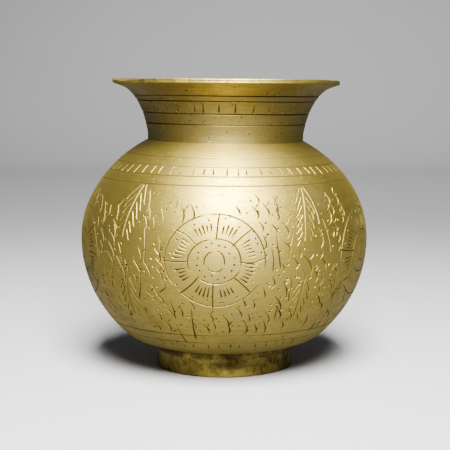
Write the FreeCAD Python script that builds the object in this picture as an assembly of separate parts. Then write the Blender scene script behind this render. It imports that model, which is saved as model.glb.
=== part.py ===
import FreeCAD, Part

# Engraved brass lota: a round-bellied water pot with a flared neck, on a ring foot.
#
# The pot is four pieces of turned brass brazed together: a bowl and a shoulder that meet in a lap joint
# round the belly, a flared neck that stands on the shoulder, and a ring foot under the bowl. The three
# rings of brazing spelter that hold them are solids of their own.
#
# Frame: millimetres, +Z up, origin on the axis, on the plane that the foot stands on.

import math
import os

from FreeCAD import Vector

# Overall size
TOTAL_HEIGHT = 125.8
RIM_RADIUS = 49.3
BELLY_RADIUS = 62.5
BELLY_HEIGHT = 56.5
FOOT_RADIUS = 29.6

# Body: half an ellipse above the belly line, a deeper one below it, and a flattened bottom
BODY_WALL = 1.5
SHOULDER_RISE = 50.7
BOWL_DROP = 57.0
BOTTOM_HEIGHT = 8.6
BOTTOM_START = 0.704  # where the bottom leaves the ellipse, as a share of the belly radius
BOTTOM_REACH = 6.0  # how far the ellipse's slope carries on into the bottom
BOTTOM_LEVEL = 0.42  # where the bottom turns level, as a share of the belly radius

# Neck: its bore and wall at the foot, its flare as (radius gained, height) and its lip
NECK_BORE_RADIUS = 32.2
NECK_WALL = 1.6
LEDGE_WIDTH = 0.5
FLARE_OUTSIDE = ((0.15, 3.6), (0.75, 6.1), (2.1, 11.2), (5.1, 17.4), (9.3, 22.3))
FLARE_INSIDE = ((0.1, 4.0), (1.8, 11.8), (4.7, 18.2), (9.3, 23.6))
LIP_THICKNESS = 1.9
LIP_ROUND = 0.5
LIP_WIDTH = 2.2

# Lap joint at the belly: the bowl's thin tongue stands inside the shoulder's thin edge
LAP_HEIGHT = 4.0
LAP_RADIUS = 61.75
SPELTER_FILM = 0.1
SPELTER_BEAD = 0.8
FOOT_BEAD = 1.3

# Foot ring: a slight taper that hollows out into a flare under the bowl
FOOT_WALL = 2.2
FOOT_TAPER = 0.3
FOOT_EDGE_ROUND = 0.6
FLARE_START = 7.8
FLARE_TOP = 11.6
FLARE_WIDTH = 1.5
FLARE_HOLLOW = 0.45  # how far the flare has come out at half its height

# Turned lines, as heights on the outside of the pot
LINE_WIDTH = 0.5
LINE_DEPTH = 0.22
LINE_PROUD = 0.02
NECK_LINES = (106.6, 111.2, 115.6, 118.1)
SHOULDER_LINES = (83.1, 86.6, 90.1, 93.5)
BOWL_LINES = (14.4, 18.4, 22.0)

NECK_OUTER_RADIUS = NECK_BORE_RADIUS + NECK_WALL
SHOULDER_TOP_RADIUS = NECK_OUTER_RADIUS + LEDGE_WIDTH
FOOT_INNER_RADIUS = FOOT_RADIUS - FOOT_WALL
FILM_RADIUS = LAP_RADIUS - SPELTER_FILM
INNER_BELLY = BELLY_RADIUS - BODY_WALL
INNER_RISE = SHOULDER_RISE - BODY_WALL
INNER_DROP = BOWL_DROP - BODY_WALL
AXIS_FOOT = Vector(0, 0, 0)
AXIS = Vector(0, 0, 1)


def at(radius, height):
    """A point of a half section, in the XZ plane."""
    return Vector(radius, 0, height)


def line(start, end):
    return Part.makeLine(at(*start), at(*end))


def arc(start, middle, end):
    return Part.Arc(at(*start), at(*middle), at(*end)).toShape()


def spline(points):
    """A smooth curve through a few points of the section."""
    curve = Part.BSplineCurve()
    curve.interpolate([at(*point) for point in points])
    return curve.toShape()


def bezier(poles):
    curve = Part.BezierCurve()
    curve.setPoles([at(*pole) for pole in poles])
    return curve.toShape()


def turned(edges):
    """The solid that a closed half section sweeps in a full turn about Z."""
    face = Part.Face(Part.Wire(Part.__sortEdges__(edges)))
    return face.revolve(AXIS_FOOT, AXIS, 360)


def ellipse_rise(radius, belly, rise):
    """Height above the belly line of an ellipse with those half axes, at a radius."""
    return rise * math.sqrt(1 - (radius / belly) ** 2)


def ellipse_radius(height, belly, rise):
    """Radius of the same ellipse at a height from the belly line, above or below it."""
    return belly * math.sqrt(1 - (height / rise) ** 2)


def ellipse_arc(belly, rise, start_height, end_height, steps=12):
    """The ellipse's outline between two heights from the belly line, as one smooth curve."""
    start = math.asin(start_height / rise)
    end = math.asin(end_height / rise)
    angles = [start + (end - start) * i / steps for i in range(steps + 1)]
    return spline([(belly * math.cos(a), BELLY_HEIGHT + rise * math.sin(a)) for a in angles])


def body_radius(height):
    """Outside radius of the body at a height between its bottom and the neck."""
    above = height - BELLY_HEIGHT
    return ellipse_radius(above, BELLY_RADIUS, SHOULDER_RISE if above > 0 else BOWL_DROP)


SHOULDER_TOP = BELLY_HEIGHT + ellipse_rise(SHOULDER_TOP_RADIUS, BELLY_RADIUS, SHOULDER_RISE)


def cut_lines(solid, heights, radius_at):
    """Cuts a V groove round a turned solid at each height, square to its surface."""
    half = LINE_WIDTH / 2
    for height in heights:
        slope = (radius_at(height + half) - radius_at(height - half)) / LINE_WIDTH
        along = Vector(slope, 0, 1).normalize()
        inward = Vector(-along.z, 0, along.x)
        centre = at(radius_at(height), height)
        mouth = centre - inward * LINE_PROUD
        corners = [mouth + along * half, centre + inward * LINE_DEPTH, mouth - along * half]
        groove = Part.Face(Part.makePolygon(corners + corners[:1]))
        solid = solid.cut(groove.revolve(AXIS_FOOT, AXIS, 360))
    return solid


def shoulder_shell():
    """Upper body: a dome open at the top, rebated inside its lower edge for the bowl's tongue."""
    inner_top = ellipse_rise(NECK_BORE_RADIUS, INNER_BELLY, INNER_RISE)
    rebate = LAP_HEIGHT + SPELTER_FILM
    rebate_top = BELLY_HEIGHT + rebate
    rebate_inner = ellipse_radius(rebate, INNER_BELLY, INNER_RISE)
    solid = turned([
        ellipse_arc(BELLY_RADIUS, SHOULDER_RISE, 0, SHOULDER_TOP - BELLY_HEIGHT),
        line((SHOULDER_TOP_RADIUS, SHOULDER_TOP), (NECK_BORE_RADIUS, SHOULDER_TOP)),
        line((NECK_BORE_RADIUS, SHOULDER_TOP), (NECK_BORE_RADIUS, BELLY_HEIGHT + inner_top)),
        ellipse_arc(INNER_BELLY, INNER_RISE, inner_top, rebate),
        line((rebate_inner, rebate_top), (LAP_RADIUS, rebate_top)),
        line((LAP_RADIUS, rebate_top), (LAP_RADIUS, BELLY_HEIGHT)),
        line((LAP_RADIUS, BELLY_HEIGHT), (BELLY_RADIUS, BELLY_HEIGHT)),
    ])
    return cut_lines(solid, SHOULDER_LINES, body_radius)


def bottom_curve(belly, drop, height):
    """The flattened bottom: it leaves the lower ellipse along its slope and is level on the axis.

    Returns the curve and the height from the belly line at which it takes over from the ellipse.
    """
    depth = math.sqrt(1 - BOTTOM_START**2)
    radius = belly * BOTTOM_START
    start = -drop * depth
    slope = drop / belly * BOTTOM_START / depth
    poles = [
        (radius, BELLY_HEIGHT + start),
        (radius - BOTTOM_REACH, BELLY_HEIGHT + start - BOTTOM_REACH * slope),
        (belly * BOTTOM_LEVEL, height),
        (0, height),
    ]
    return bezier(poles), start


def bowl_shell():
    """Lower body: a bowl with a flattened bottom and a thin tongue round its edge."""
    tongue_top = BELLY_HEIGHT + LAP_HEIGHT
    tongue_inner = ellipse_radius(LAP_HEIGHT, INNER_BELLY, INNER_RISE)
    outer_bottom, outer_start = bottom_curve(BELLY_RADIUS, BOWL_DROP, BOTTOM_HEIGHT)
    inner_bottom, inner_start = bottom_curve(INNER_BELLY, INNER_DROP, BOTTOM_HEIGHT + BODY_WALL)
    solid = turned([
        ellipse_arc(BELLY_RADIUS, BOWL_DROP, 0, outer_start),
        outer_bottom,
        line((0, BOTTOM_HEIGHT), (0, BOTTOM_HEIGHT + BODY_WALL)),
        inner_bottom,
        ellipse_arc(INNER_BELLY, INNER_DROP, inner_start, 0),
        ellipse_arc(INNER_BELLY, INNER_RISE, 0, LAP_HEIGHT, steps=3),
        line((tongue_inner, tongue_top), (FILM_RADIUS, tongue_top)),
        line((FILM_RADIUS, tongue_top), (FILM_RADIUS, BELLY_HEIGHT)),
        line((FILM_RADIUS, BELLY_HEIGHT), (BELLY_RADIUS, BELLY_HEIGHT)),
    ])
    return cut_lines(solid, BOWL_LINES, body_radius)


def neck():
    """A flared tube whose wall thickens into a lip with rounded edges."""
    top = TOTAL_HEIGHT
    lip_foot = top - LIP_THICKNESS
    shy = RIM_RADIUS - LIP_ROUND
    corner = RIM_RADIUS - LIP_ROUND * (1 - math.sqrt(0.5))
    outside = [(NECK_OUTER_RADIUS, SHOULDER_TOP)]
    outside += [(NECK_OUTER_RADIUS + gain, SHOULDER_TOP + rise) for gain, rise in FLARE_OUTSIDE]
    outside += [(shy, lip_foot)]
    inside = [(NECK_BORE_RADIUS, SHOULDER_TOP)]
    inside += [(NECK_BORE_RADIUS + gain, SHOULDER_TOP + rise) for gain, rise in FLARE_INSIDE]
    inside += [(RIM_RADIUS - LIP_WIDTH, top)]
    outer_curve = spline(outside)
    solid = turned([
        outer_curve,
        arc((shy, lip_foot), (corner, lip_foot + RIM_RADIUS - corner), (RIM_RADIUS, lip_foot + LIP_ROUND)),
        line((RIM_RADIUS, lip_foot + LIP_ROUND), (RIM_RADIUS, top - LIP_ROUND)),
        arc((RIM_RADIUS, top - LIP_ROUND), (corner, top - RIM_RADIUS + corner), (shy, top)),
        line((shy, top), inside[-1]),
        spline(inside),
        line(inside[0], outside[0]),
    ])

    def radius_at(height):
        """Outside radius of the neck where a level line at that height meets its curve."""
        level = Part.makeLine(at(0, height), at(RIM_RADIUS, height))
        return outer_curve.distToShape(level)[1][0][0].x

    return cut_lines(solid, NECK_LINES, radius_at)


def bowl_core():
    """Everything inside the bowl's outside face, for shaping what is brazed against it."""
    outer_bottom, outer_start = bottom_curve(BELLY_RADIUS, BOWL_DROP, BOTTOM_HEIGHT)
    return turned([
        ellipse_arc(BELLY_RADIUS, BOWL_DROP, 0, outer_start),
        outer_bottom,
        line((0, BOTTOM_HEIGHT), (0, BELLY_HEIGHT)),
        line((0, BELLY_HEIGHT), (BELLY_RADIUS, BELLY_HEIGHT)),
    ])


def foot_ring():
    """A turned ring with a rounded lower edge, fitted on top to the bowl that it carries."""
    upper = FOOT_RADIUS + FOOT_TAPER
    flare = upper + FLARE_WIDTH
    round_in = FOOT_RADIUS - FOOT_EDGE_ROUND
    corner = FOOT_EDGE_ROUND * (1 - math.sqrt(0.5))
    hollow = (upper + FLARE_WIDTH * FLARE_HOLLOW, (FLARE_START + FLARE_TOP) / 2)
    blank = turned([
        line((FOOT_INNER_RADIUS, 0), (round_in, 0)),
        arc((round_in, 0), (FOOT_RADIUS - corner, corner), (FOOT_RADIUS, FOOT_EDGE_ROUND)),
        line((FOOT_RADIUS, FOOT_EDGE_ROUND), (upper, FLARE_START)),
        arc((upper, FLARE_START), hollow, (flare, FLARE_TOP)),
        line((flare, FLARE_TOP), (FOOT_INNER_RADIUS, FLARE_TOP)),
        line((FOOT_INNER_RADIUS, FLARE_TOP), (FOOT_INNER_RADIUS, 0)),
    ])
    return blank.cut(bowl_core())


def bead(radius, height, size):
    """A ring of spelter of round section, centred on a seam."""
    return Part.makeTorus(radius, size, at(0, height))


def belly_spelter(shoulder, bowl):
    """The film in the lap joint, running out into a bead inside the pot."""
    tongue_top = BELLY_HEIGHT + LAP_HEIGHT
    film = Part.makeCylinder(LAP_RADIUS, LAP_HEIGHT + SPELTER_FILM, at(0, BELLY_HEIGHT))
    tongue = Part.makeCylinder(FILM_RADIUS, LAP_HEIGHT, at(0, BELLY_HEIGHT))
    inside = Part.makeCylinder(INNER_BELLY - SPELTER_BEAD, LAP_HEIGHT * 2, at(0, BELLY_HEIGHT))
    seam_bead = bead(INNER_BELLY, tongue_top, SPELTER_BEAD)
    return film.cut(tongue).cut(inside).fuse(seam_bead).cut(shoulder).cut(bowl)


def neck_spelter(shoulder, collar):
    """A bead round the inside of the seam where the neck stands on the shoulder."""
    return bead(NECK_BORE_RADIUS, SHOULDER_TOP, SPELTER_BEAD).cut(shoulder).cut(collar)


def foot_spelter(foot):
    """A bead in the corner between the bowl's underside and the inside of the foot."""
    corner = max(edge.BoundBox.ZMin for edge in foot.Edges if edge.BoundBox.XMax < FOOT_INNER_RADIUS + 1)
    inside = Part.makeCylinder(FOOT_INNER_RADIUS, TOTAL_HEIGHT)
    return bead(FOOT_INNER_RADIUS, corner, FOOT_BEAD).common(inside).cut(bowl_core())


def one_solid(shape):
    """The largest solid of a shape, without the slivers that a cut can leave."""
    return max(shape.Solids, key=lambda solid: solid.Volume)


def main():
    shoulder = shoulder_shell()
    bowl = bowl_shell()
    collar = neck()
    foot = one_solid(foot_ring())
    parts = {
        "shoulder_shell": shoulder,
        "bowl_shell": bowl,
        "neck": collar,
        "foot_ring": foot,
        "belly_spelter": belly_spelter(shoulder, bowl),
        "neck_spelter": neck_spelter(shoulder, collar),
        "foot_spelter": foot_spelter(foot),
    }
    os.makedirs("parts", exist_ok=True)
    for name, shape in parts.items():
        solid = one_solid(shape)
        solid.exportStep(f"parts/{name}.step")
        box = solid.optimalBoundingBox(True, False)
        print(f"{name}: {solid.Volume / 1000:.2f} cm3, radius {box.XMax:.2f}, z {box.ZMin:.2f} to {box.ZMax:.2f}")


main()
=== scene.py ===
import math

import bmesh
import bpy
import numpy as np
from bpy.props import FloatProperty, FloatVectorProperty, IntProperty, PointerProperty
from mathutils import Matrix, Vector
from mathutils.geometry import delaunay_2d_cdt


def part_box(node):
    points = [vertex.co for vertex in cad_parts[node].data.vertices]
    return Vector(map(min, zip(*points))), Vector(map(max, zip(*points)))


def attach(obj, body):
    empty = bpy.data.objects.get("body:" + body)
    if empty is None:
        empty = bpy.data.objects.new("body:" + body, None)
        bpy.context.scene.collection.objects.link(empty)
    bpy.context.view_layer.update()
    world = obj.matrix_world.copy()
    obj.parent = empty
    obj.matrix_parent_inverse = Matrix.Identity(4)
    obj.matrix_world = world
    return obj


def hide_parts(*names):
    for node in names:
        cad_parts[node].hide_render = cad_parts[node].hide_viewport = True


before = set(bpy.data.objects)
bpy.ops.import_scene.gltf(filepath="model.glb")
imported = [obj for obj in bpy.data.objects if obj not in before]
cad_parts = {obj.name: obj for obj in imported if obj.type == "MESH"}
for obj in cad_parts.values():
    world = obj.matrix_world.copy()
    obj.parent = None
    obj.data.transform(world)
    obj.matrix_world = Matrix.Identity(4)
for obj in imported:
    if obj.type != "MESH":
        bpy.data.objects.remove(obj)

bl_info = {
    "name": "Engraved brass lota",
    "version": (1, 0, 0),
    "blender": (4, 5, 0),
    "location": "View3D > Sidebar > Lota",
    "description": "Builds a hand-engraved brass water pot round its packed CAD frame",
    "category": "Add Mesh",
}

MM = 0.001
MERGE = 2e-6
TURN = 2 * math.pi
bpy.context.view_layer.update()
SHOULDER_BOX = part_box("shoulder_shell")
BOWL_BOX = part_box("bowl_shell")
NECK_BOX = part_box("neck")
FOOT_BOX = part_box("foot_ring")

# The turned pieces
COLUMNS = 200  # points on every plain ring round the pot
EVEN = np.linspace(-math.pi, math.pi, COLUMNS + 1)[:-1]
BOTTOM_POINTS = 400
ELLIPSE_POINTS = 1200
BOTTOM_START = 0.704  # where the bottom leaves the ellipse, as a share of the belly radius
BOTTOM_REACH = 6.0 * MM  # how far the ellipse's slope carries on into the bottom
BOTTOM_LEVEL = 0.42  # where the bottom turns level, as a share of the belly radius
LIP_ROUND = 0.5 * MM
LIP_WIDTH = 2.2 * MM
LIP_HOLLOW = 0.08 * MM
FOOT_EDGE = 0.6 * MM
FOOT_TAPER = 0.3 * MM
COVE_START = 7.8 * MM
FOOT_GAP = 0.02 * MM  # between the foot and the bowl above it
INNER_GAP = 3.0 * MM  # between rings of the plain inside
POLE_GAP = 2.0 * MM  # from the axis to the innermost ring
SEAM_ROWS = (-1.0, -0.5, -0.2, -0.06, 0, 0.06, 0.2, 0.5, 1.0)  # millimetres from the belly seam
SEAM_CLEAR = 1.6 * MM
SHARP = math.radians(16)
SNAP = 0.004  # millimetres within which the net's points are one
RING_STEP = 1.6 * MM  # between points of a turned line
ROW_SHARE = 0.9  # the spacing of the net's rows, as a share of the net's
CUT_CLEAR = 0.42  # the plain net's distance from a cut, as a share of the net's spacing

# Hand work and wear
HAND_DEPTH = 0.12 * MM
LEAN = math.tan(math.radians(0.8))  # how far the neck leans to the right
NECK_SHIFT = 0.6 * MM  # how far the neck is set off the axis
SHIFT_START = 10 * MM  # above the belly, where the shoulder starts to shift with it
SLOPE_START = 14 * MM  # above the belly, where the shoulder starts to slope with it
CROOKED_END = 4 * MM  # below the shoulder's top, where both are whole
BEND_START = 12.0 * MM  # how far above the shoulder the neck starts to be bent
# How the lip has been knocked down, in millimetres: all round, more at the back, one dent and one place
# that stayed up, the last two as (degrees round from the front, width in degrees, depth)
RIM_DROP = 0.45
RIM_BACK = 0.25
RIM_DENT = (-62.0, 17.0, 1.1)
RIM_LIFT = (42.0, 30.0, -0.35)


# ------------------------------------------------------------------ sizes and colours


def length(name, text, default):
    """A length that a user may change, in metres."""
    return FloatProperty(name=name, description=text, default=default, unit="LENGTH", precision=5)


def number(name, text, default):
    """A plain number."""
    return FloatProperty(name=name, description=text, default=default)


def turned_by(name, text, degrees):
    """An angle, given in degrees."""
    return FloatProperty(name=name, description=text, default=math.radians(degrees), subtype="ANGLE")


def share(name, text, default):
    """A number from 0 to 1."""
    return FloatProperty(name=name, description=text, default=default, min=0, max=1, subtype="FACTOR")


def colour(name, text, default):
    """A linear RGB colour."""
    return FloatVectorProperty(
        name=name, description=text, default=default, size=3, min=0, max=1, subtype="COLOR"
    )


class LotaSizes(bpy.types.PropertyGroup):
    """Radii and heights of the turned pieces."""

    belly_radius: length("Belly radius", "Widest outside radius", SHOULDER_BOX[1][0])
    belly_height: length("Belly height", "Height of the seam between the halves", SHOULDER_BOX[0][2])
    shoulder_top: length("Shoulder top", "Height where the neck stands on the shoulder", SHOULDER_BOX[1][2])
    shoulder_rise: length("Shoulder rise", "Half height of the shoulder's ellipse", 50.7 * MM)
    bowl_drop: length("Bowl drop", "Half height of the bowl's ellipse", 57.0 * MM)
    bottom_height: length("Bottom height", "Height of the bowl's underside on the axis", BOWL_BOX[0][2])
    wall: length("Wall", "Thickness of the body", 1.5 * MM)
    lap_height: length("Lap height", "Height of the lap joint", BOWL_BOX[1][2] - SHOULDER_BOX[0][2])
    lap_radius: length("Lap radius", "Radius of the lap joint's spelter film", 61.75 * MM)
    film: length("Spelter film", "Thickness of the film in the lap joint", 0.1 * MM)
    ledge: length("Ledge", "How far the shoulder's top stands out from the neck", 0.5 * MM)
    neck_bore: length("Neck bore", "Inside radius at the neck's foot", 32.2 * MM)
    neck_wall: length("Neck wall", "Thickness at the neck's foot", 1.6 * MM)
    rim_radius: length("Rim radius", "Outside radius of the lip", NECK_BOX[1][0])
    rim_height: length("Rim height", "Height of the lip's upper face", NECK_BOX[1][2])
    lip: length("Lip", "Thickness of the lip", 2.1 * MM)
    foot_radius: length("Foot radius", "Outside radius of the foot at the floor", 29.6 * MM)
    foot_wall: length("Foot wall", "Thickness of the foot ring", 2.2 * MM)


class LotaEngraving(bpy.types.PropertyGroup):
    """How the chisel cuts are made."""

    net: length("Net", "Spacing of the plain surface between cuts", 1.9 * MM)
    step: length("Step", "Spacing of points along a cut", 1.0 * MM)
    wall_slope: number("Wall slope", "Depth over half width of a cut", 0.8)
    stroke: length("Stroke", "Half width of a hooked chisel stroke at its heavy end", 0.44 * MM)
    fine: length("Fine line", "Half width of circles, spokes and leaf barbs", 0.31 * MM)
    dot: length("Dot", "Half width of a punched dot", 0.5 * MM)
    turned: length("Turned line", "Half width of a line cut on the lathe", 0.28 * MM)
    seed: IntProperty(name="Seed", description="Start of the random strays", default=7)


class LotaFinish(bpy.types.PropertyGroup):
    """Colours and gloss of the metal."""

    brass: colour("Brass", "Rubbed brass", (0.50, 0.378, 0.078))
    neck: colour("Neck brass", "Rubbed brass of the neck", (0.43, 0.36, 0.15))
    aged: colour("Aged brass", "Brass under a thin brown film", (0.33, 0.252, 0.066))
    # Tarnish is also the colour that the painted shade in the foot's cove is mixed towards.
    tarnish: colour("Tarnish", "Dark tarnish in cuts and corners", (0.085, 0.055, 0.018))
    verdigris: colour("Grey film", "Greyish film in sheltered places", (0.32, 0.26, 0.12))
    spelter: colour("Spelter", "Brazing spelter", (0.55, 0.43, 0.16))
    gloss: share("Gloss roughness", "Roughness of rubbed brass", 0.45)
    dull: share("Dull roughness", "Roughness of filmed brass", 0.57)


class LotaStage(bpy.types.PropertyGroup):
    """Floor, lights and camera."""

    floor: colour("Floor", "Colour of the floor and backdrop", (0.376, 0.374, 0.472))
    lamp: colour("Lamp colour", "Colour of the lights", (0.98, 0.985, 0.78))
    mirrored: share("Floor in the metal", "How bright the floor is in reflections", 0.2)
    key: number("Key light", "Power of the soft light in front, in watts", 19.0)
    wall: number("Backdrop light", "Power of the light on the backdrop, in watts", 6.8)
    spread: turned_by("Spread", "Cone of the lights", 110)
    sky: number("Room light", "Strength of the light from all round", 0.07)
    distance: length("Camera distance", "From the lens to the pot's axis", 546.4 * MM)
    height: length("Camera height", "Height of the lens", 124.3 * MM)
    tilt: turned_by("Camera tilt", "Downward tilt", 6.55)
    shift: length("Camera offset", "How far right of the axis the camera stands", 0.4 * MM)
    lens: number("Lens", "Focal length, in millimetres", 100.0)


# ------------------------------------------------------------------ turned outlines


class Outline:
    """A turned outline as radius and height by its length, read off a dense chain of points."""

    def __init__(self, radius, height):
        self.radius = np.asarray(radius, float)
        self.height = np.asarray(height, float)
        runs = np.hypot(np.diff(self.radius), np.diff(self.height))
        self.length = np.concatenate([[0.0], np.cumsum(runs)])
        self.total = self.length[-1]

    def radius_at(self, along):
        return np.interp(along, self.length, self.radius)

    def height_at(self, along):
        return np.interp(along, self.length, self.height)

    def normal_at(self, along):
        """Outward normal in the section: the outline's direction, turned a quarter to the right."""
        dr = np.gradient(self.radius, self.length)
        dz = np.gradient(self.height, self.length)
        nr = np.interp(along, self.length, dz)
        nz = np.interp(along, self.length, -dr)
        size = np.hypot(nr, nz)
        return nr / size, nz / size

    def along_at(self, height):
        """Length along the outline at a height, for an outline that only climbs."""
        return np.interp(height, self.height, self.length)


def ellipse(belly, rise, centre, start, end, count):
    """Points of an ellipse: radius belly times the cosine, height centre plus rise times the sine, of
    an angle that runs evenly from start to end."""
    angle = np.linspace(start, end, count)
    return belly * np.cos(angle), centre + rise * np.sin(angle)


def bottom(belly, drop, centre, low, count):
    """The flattened bottom from the axis outwards: a cubic with four poles, level on the axis, whose
    last pole lies on the ellipse and whose third lies back along the ellipse's slope."""
    depth = math.sqrt(1 - BOTTOM_START**2)
    radius = belly * BOTTOM_START
    height = centre - drop * depth
    slope = drop / belly * BOTTOM_START / depth
    poles = np.array([
        (0, low),
        (belly * BOTTOM_LEVEL, low),
        (radius - BOTTOM_REACH, height - BOTTOM_REACH * slope),
        (radius, height),
    ])
    t = np.linspace(0, 1, count)[:, None]
    u = 1 - t
    points = u**3 * poles[0] + 3 * u**2 * t * poles[1] + 3 * u * t**2 * poles[2] + t**3 * poles[3]
    return points[:, 0], points[:, 1]


def body_outline(sizes, inset=0.0):
    """The body's outline from the axis underneath to the shoulder's top, moved inwards by inset."""
    belly = sizes.belly_radius - inset
    rise = sizes.shoulder_rise - inset
    drop = sizes.bowl_drop - inset
    centre = sizes.belly_height
    start = -math.asin(math.sqrt(1 - BOTTOM_START**2))
    top_radius = sizes.neck_bore if inset else sizes.neck_bore + sizes.neck_wall + sizes.ledge
    end = math.acos(top_radius / belly)
    low_r, low_z = bottom(belly, drop, centre, sizes.bottom_height + inset, BOTTOM_POINTS)
    bowl_r, bowl_z = ellipse(belly, drop, centre, start, 0, ELLIPSE_POINTS)
    top_r, top_z = ellipse(belly, rise, centre, 0, end, ELLIPSE_POINTS)
    return Outline(
        np.concatenate([low_r[:-1], bowl_r[:-1], top_r]), np.concatenate([low_z[:-1], bowl_z[:-1], top_z])
    )


# The neck's flare as (radius gained, height above the shoulder), outside and inside
FLARE_OUTSIDE = ((0, 0), (0.15, 3.6), (0.75, 6.1), (2.1, 11.2), (5.1, 17.4), (9.3, 22.3))
FLARE_INSIDE = ((0, 0), (0.1, 4.0), (1.8, 11.8), (4.7, 18.2), (9.3, 23.6))


def smooth_through(points, count):
    """A smooth curve through a few points: a Catmull-Rom spline, each coordinate a cubic between
    neighbours whose slope at a point is half the step from the one before to the one after."""
    knots = np.asarray(points, float)
    ghost = np.vstack([2 * knots[0] - knots[1], knots, 2 * knots[-1] - knots[-2]])
    chord = np.concatenate([[0], np.cumsum(np.linalg.norm(np.diff(knots, axis=0), axis=1))])
    along = np.linspace(0, chord[-1], count)
    i = np.clip(np.searchsorted(chord, along, side="right") - 1, 0, len(knots) - 2)
    t = ((along - chord[i]) / (chord[i + 1] - chord[i]))[:, None]
    p0, p1, p2, p3 = ghost[i], ghost[i + 1], ghost[i + 2], ghost[i + 3]
    return 0.5 * (
        2 * p1 + (p2 - p0) * t + (2 * p0 - 5 * p1 + 4 * p2 - p3) * t**2 + (3 * p1 - p0 - 3 * p2 + p3) * t**3
    )


def neck_outside(sizes):
    """The neck's outside from its foot to the underside of the lip."""
    base = np.array([sizes.neck_bore + sizes.neck_wall, sizes.shoulder_top])
    points = base + np.array(FLARE_OUTSIDE) * MM
    end = [sizes.rim_radius - LIP_ROUND, sizes.rim_height - sizes.lip]
    curve = smooth_through(np.vstack([points, end]), 900)
    return Outline(curve[:, 0], curve[:, 1])


# ------------------------------------------------------------------ chisel cuts


class Cut:
    """One V cut: points along its middle, as angle and outline length, its half width at each, and how
    steep its walls are, as a share of the engraving's wall slope."""

    def __init__(self, points, half, round_the_pot=False, steep=1.0):
        self.points = points
        self.half = half
        self.ring = round_the_pot
        self.steep = steep


def rounded(points, passes=2):
    """Corner cutting: each run's points at a quarter and three quarters, with the ends kept."""
    chain = np.asarray(points, float)
    for _ in range(passes):
        if len(chain) < 3:
            break
        quarter = 0.75 * chain[:-1] + 0.25 * chain[1:]
        threes = 0.25 * chain[:-1] + 0.75 * chain[1:]
        middle = np.stack([quarter, threes], axis=1).reshape(-1, 2)
        chain = np.vstack([chain[:1], middle[1:-1], chain[-1:]])
    return chain


def heavy_end(t):
    """Half width of a pushed stroke by its share of length: thin at first, deepest at 0.85, lifted."""
    swell = 0.5 + 0.5 * np.clip(t / 0.85, 0, 1) ** 1.4
    return swell * np.sqrt(np.clip((1 - t) / 0.12, 0, 1)) * np.clip(t / 0.08, 0, 1)


def knee_heavy(t):
    """Half width of a hook: thin at both ends and deepest where it turns, as a bell curve."""
    bell = np.exp(-(((t - 0.6) / 0.22) ** 2))
    return (0.5 + 0.5 * bell) * np.clip(t / 0.08, 0, 1) * np.clip((1 - t) / 0.15, 0, 1)


def even_line(t):
    """Half width of an even line that fades in and out at its ends."""
    return np.clip(t / 0.1, 0, 1) * np.clip((1 - t) / 0.1, 0, 1)


def dot_round(t):
    """Half width of a punched dot: a half ellipse."""
    return np.sqrt(np.clip(1 - (2 * t - 1) ** 2, 0, 1))


class Plate:
    """A stretch of a turned outside that is engraved, with its cuts collected before it is meshed."""

    def __init__(self, outline, start, end, engraving):
        self.outline = outline
        self.start = start
        self.end = end
        self.engraving = engraving
        self.widest = outline.radius[(outline.length >= start) & (outline.length <= end)].max()
        self.cuts = []
        self.rng = np.random.default_rng(engraving.seed)

    def add(self, points, half, shape, corners=2):
        """Adds a cut through points of the flat pattern: millimetres round the belly from the front,
        and millimetres above the floor."""
        flat = rounded(points, corners)
        angle = flat[:, 0] * MM / self.widest
        along = self.outline.along_at(flat[:, 1] * MM)
        radius = self.outline.radius_at(along)
        runs = np.hypot(np.diff(angle) * (radius[1:] + radius[:-1]) / 2, np.diff(along))
        chord = np.concatenate([[0], np.cumsum(runs)])
        count = max(3, int(round(chord[-1] / self.engraving.step)) + 1)
        t = np.linspace(0, 1, count)
        way = t * chord[-1]
        middle = np.column_stack([np.interp(way, chord, angle), np.interp(way, chord, along)])
        self.cuts.append(Cut(middle, half * shape(t)))

    def ring(self, height, half, uneven=0.25, steep=1.0):
        """Adds a line turned round the pot at a height in millimetres, deeper in some places."""
        along = float(self.outline.along_at(height * MM))
        count = int(TURN * self.outline.radius_at(along) / RING_STEP)
        angle = np.linspace(-math.pi, math.pi, count + 1)
        phase = self.rng.uniform(0, TURN, 3)
        wave = sum(np.cos((k + 1) * angle + phase[k]) for k in range(3)) / 3
        middle = np.column_stack([angle, np.full_like(angle, along)])
        self.cuts.append(Cut(middle, half * (1 + uneven * wave), True, steep))

    def rows(self):
        """Outline lengths of the plain net's rows, evenly spaced."""
        net = self.engraving.net
        count = int(round((self.end - self.start) / (net * ROW_SHARE)))
        return np.linspace(self.start, self.end, count + 1)


def plain_points(plate, lengths, columns):
    """The plain net: rows of points evenly spaced round the pot, every other row half a step on. The
    first and last rows have the given number of columns, so that the rest of the piece meets them."""
    points = []
    for i, along in enumerate(lengths):
        radius = float(plate.outline.radius_at(along))
        edge = i in (0, len(lengths) - 1)
        count = columns if edge else int(TURN * radius / plate.engraving.net)
        angle = np.linspace(-math.pi, math.pi, count + 1)
        if i % 2 and not edge:
            angle = np.concatenate([[-math.pi], (angle[:-1] + angle[1:]) / 2, [math.pi]])
        points.append(np.column_stack([angle, np.full_like(angle, along)]))
    return points


def turns_of(points, reach):
    """The whole turns by which a cut is repeated, so that it is found on both sides of the back."""
    turns = [0.0]
    if points[:, 0].max() + reach > math.pi:
        turns.append(-TURN)
    if points[:, 0].min() - reach < -math.pi:
        turns.append(TURN)
    return turns


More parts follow.
